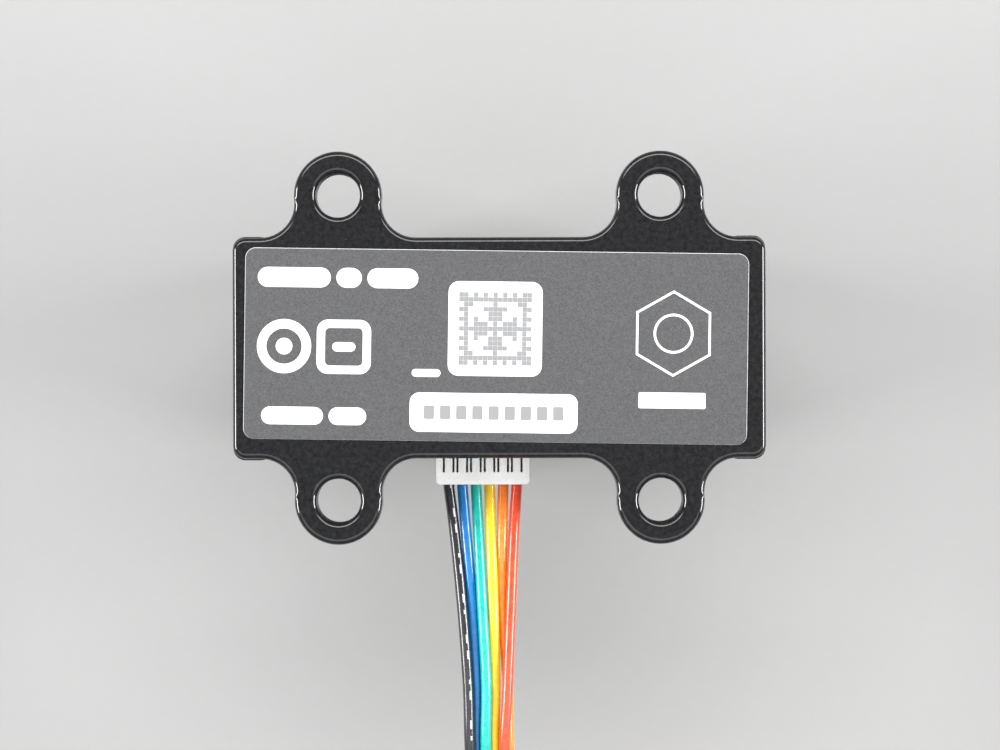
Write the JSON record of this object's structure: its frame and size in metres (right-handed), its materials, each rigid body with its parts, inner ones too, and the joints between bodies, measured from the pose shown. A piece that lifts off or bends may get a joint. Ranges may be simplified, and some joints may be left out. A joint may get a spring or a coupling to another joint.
{
  "type": "optical range finder module",
  "caption": "Palm-size optical range finder with emitter and receiver lens barrels, eared rear cover and a pull-out wire harness.",
  "frame": {"origin": "middle of the footprint, on the plane of the two lens rims", "axes": "+Z from the lenses to the labelled rear cover, +X from the receiver lens to the emitter lens, -Y the side that the wires leave"},
  "size_m": [0.0486, 0.1085, 0.0401],
  "materials": {
    "gloss_black_plastic": "moulded, polished, faint wear",
    "matt_black_plastic": "fine spark-eroded",
    "label_grey": "matt polyester film with a fine grain",
    "label_print": "white ink",
    "label_grey_print": "grey ink on white",
    "steel": "bright zinc",
    "tinned_metal": "tinned",
    "lens_glass": "coated, clear",
    "filter_glass": "interference filter, deep red",
    "foam": "closed-cell foam",
    "circuit_board": "green solder mask",
    "chip_black": "moulded epoxy",
    "ceramic_tan": "fired ceramic",
    "nylon_white": "natural nylon",
    "cord_bundle": "six wires wound together",
    "wire_black": "extruded PVC",
    "wire_blue": "extruded PVC",
    "wire_green": "extruded PVC",
    "wire_yellow": "extruded PVC",
    "wire_orange": "extruded PVC",
    "wire_red": "extruded PVC"
  },
  "bodies": {
    "module": {"front_housing": "gloss_black_plastic", "rear_cover": "gloss_black_plastic", "rear_label": "label_grey", "cover_screw_1": "steel", "cover_screw_2": "steel", "cover_screw_3": "steel", "cover_screw_4": "steel", "emitter_lens": "lens_glass", "emitter_lens_ring": "matt_black_plastic", "receiver_lens": "lens_glass", "receiver_lens_ring": "matt_black_plastic", "light_seal": "foam", "reference_light_guide": "lens_glass", "laser_diode": "tinned_metal", "detector_shield": "tinned_metal", "detector_diode": "chip_black", "detector_amplifier": "chip_black", "receiver_filter": "filter_glass", "main_board": "circuit_board", "board_screw_1": "steel", "board_screw_2": "steel", "processor": "chip_black", "clock_crystal": "tinned_metal", "laser_driver": "chip_black", "laser_capacitor": "ceramic_tan", "power_regulator": "chip_black", "bulk_capacitor_1": "ceramic_tan", "bulk_capacitor_2": "ceramic_tan", "power_inductor": "matt_black_plastic", "board_header": "nylon_white", "header_pin_1": "tinned_metal", "header_pin_2": "tinned_metal", "header_pin_3": "tinned_metal", "header_pin_4": "tinned_metal", "header_pin_5": "tinned_metal", "header_pin_6": "tinned_metal"},
    "harness": {"plug_contact_1": "tinned_metal", "wire_black": "wire_black", "plug_contact_2": "tinned_metal", "wire_blue": "wire_blue", "plug_contact_3": "tinned_metal", "wire_green": "wire_green", "plug_contact_4": "tinned_metal", "wire_yellow": "wire_yellow", "plug_contact_5": "tinned_metal", "wire_orange": "wire_orange", "plug_contact_6": "tinned_metal", "wire_red": "wire_red", "plug_housing": "nylon_white", "wire_coil": "cord_bundle"}
  },
  "joints": [
    {"name": "harness_unplug", "type": "slide", "parent": "module", "child": "harness", "axis": [0, -1, 0], "range_m": [0, 0.0065]}
  ]
}
